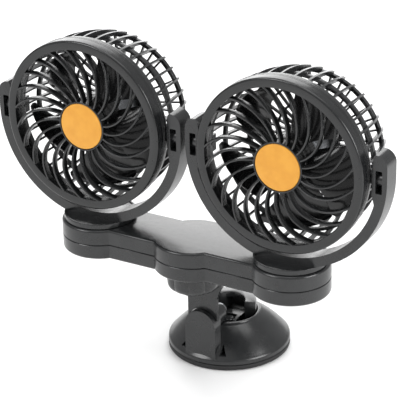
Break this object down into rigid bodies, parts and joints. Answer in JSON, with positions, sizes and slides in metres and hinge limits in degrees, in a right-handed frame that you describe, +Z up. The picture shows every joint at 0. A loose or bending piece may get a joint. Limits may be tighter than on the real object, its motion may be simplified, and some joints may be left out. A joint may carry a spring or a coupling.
{
  "type": "dual head car fan",
  "caption": "Dashboard fan: caged spinning heads in tilting U yokes on a wing-shaped swivelling base, clamped on a tilting neck over a suction foot",
  "frame": {"origin": "middle of the suction pad's flat underside, on the dashboard plane", "axes": "+X to the right seen from the front, along the wing; +Y to the back; +Z up"},
  "size_m": [0.257, 0.1033, 0.2066],
  "materials": {
    "black_satin": "satin injection-moulded ABS, near black",
    "black_gloss": "glossy moulded blades, near black",
    "orange_disc": "plain orange disc, satin",
    "cup_rubber": "soft black rubber",
    "steel": "plain zinc-plated steel",
    "white_nylon": "natural nylon"
  },
  "bodies": {
    "foot": {"suction_cup": "cup_rubber", "cup_stem": "black_satin", "base_shell": "black_satin", "hinge_pin": "steel"},
    "lever": {"release_lever": "black_satin", "lever_pin": "steel"},
    "neck": {"neck": "black_satin"},
    "wing": {"wing_lower_shell": "black_satin", "wing_upper_shell": "black_satin", "cord_grommet": "cup_rubber", "friction_washer": "white_nylon", "wing_screw_1": "steel", "wing_screw_2": "steel", "wing_screw_3": "steel", "wing_screw_4": "steel"},
    "nut": {"clamp_nut": "black_satin"},
    "left_yoke_body": {"left_yoke": "black_satin", "left_turntable_washer": "steel", "left_turntable_screw": "steel"},
    "left_head": {"left_front_grille": "black_satin", "left_hub_badge": "orange_disc", "left_rear_cage": "black_satin", "left_motor_can": "steel", "left_motor_cap": "black_satin", "left_pivot_pin_inner": "black_satin", "left_pivot_pin_outer": "black_satin", "left_motor_screw_inner": "steel", "left_motor_screw_outer": "steel"},
    "left_rotor": {"left_impeller": "black_gloss", "left_motor_shaft": "steel"},
    "right_yoke_body": {"right_yoke": "black_satin", "right_turntable_washer": "steel", "right_turntable_screw": "steel"},
    "right_head": {"right_front_grille": "black_satin", "right_hub_badge": "orange_disc", "right_rear_cage": "black_satin", "right_motor_can": "steel", "right_motor_cap": "black_satin", "right_pivot_pin_inner": "black_satin", "right_pivot_pin_outer": "black_satin", "right_motor_screw_inner": "steel", "right_motor_screw_outer": "steel"},
    "right_rotor": {"right_impeller": "black_gloss", "right_motor_shaft": "steel"}
  },
  "joints": [
    {"name": "neck_tilt", "type": "hinge", "parent": "foot", "child": "neck", "pos_m": [0, -0.022, 0.027], "axis": [0, 1, 0], "range_deg": [-35, 35]},
    {"name": "wing_swivel", "type": "hinge", "parent": "neck", "child": "wing", "pos_m": [0, -0.0411, 0.0655], "axis": [0, 0, 1], "range_deg": [-180, 180]},
    {"name": "nut_turn", "type": "hinge", "parent": "wing", "child": "nut", "pos_m": [0, -0.0411, 0.0655], "axis": [0, 0, 1], "range_deg": [0, 180]},
    {"name": "release_lever_turn", "type": "hinge", "parent": "foot", "child": "lever", "pos_m": [0, 0, 0.0135], "axis": [1, 0, 0], "range_deg": [0, 70]},
    {"name": "left_yoke_swivel", "type": "hinge", "parent": "wing", "child": "left_yoke_body", "pos_m": [-0.065, -0.0411, 0.0916], "axis": [0, 0, 1], "range_deg": [-170, 170]},
    {"name": "left_head_tilt", "type": "hinge", "parent": "left_yoke_body", "child": "left_head", "pos_m": [-0.065, -0.0443, 0.1541], "axis": [1, 0, 0], "range_deg": [-90, 90]},
    {"name": "left_impeller_spin", "type": "hinge", "parent": "left_head", "child": "left_rotor", "pos_m": [-0.065, -0.0443, 0.1541], "axis": [0, 1, 0], "continuous": true},
    {"name": "right_yoke_swivel", "type": "hinge", "parent": "wing", "child": "right_yoke_body", "pos_m": [0.065, -0.0411, 0.0916], "axis": [0, 0, 1], "range_deg": [-170, 170]},
    {"name": "right_head_tilt", "type": "hinge", "parent": "right_yoke_body", "child": "right_head", "pos_m": [0.065, -0.0443, 0.1541], "axis": [1, 0, 0], "range_deg": [-90, 90]},
    {"name": "right_impeller_spin", "type": "hinge", "parent": "right_head", "child": "right_rotor", "pos_m": [0.065, -0.0443, 0.1541], "axis": [0, 1, 0], "continuous": true}
  ]
}
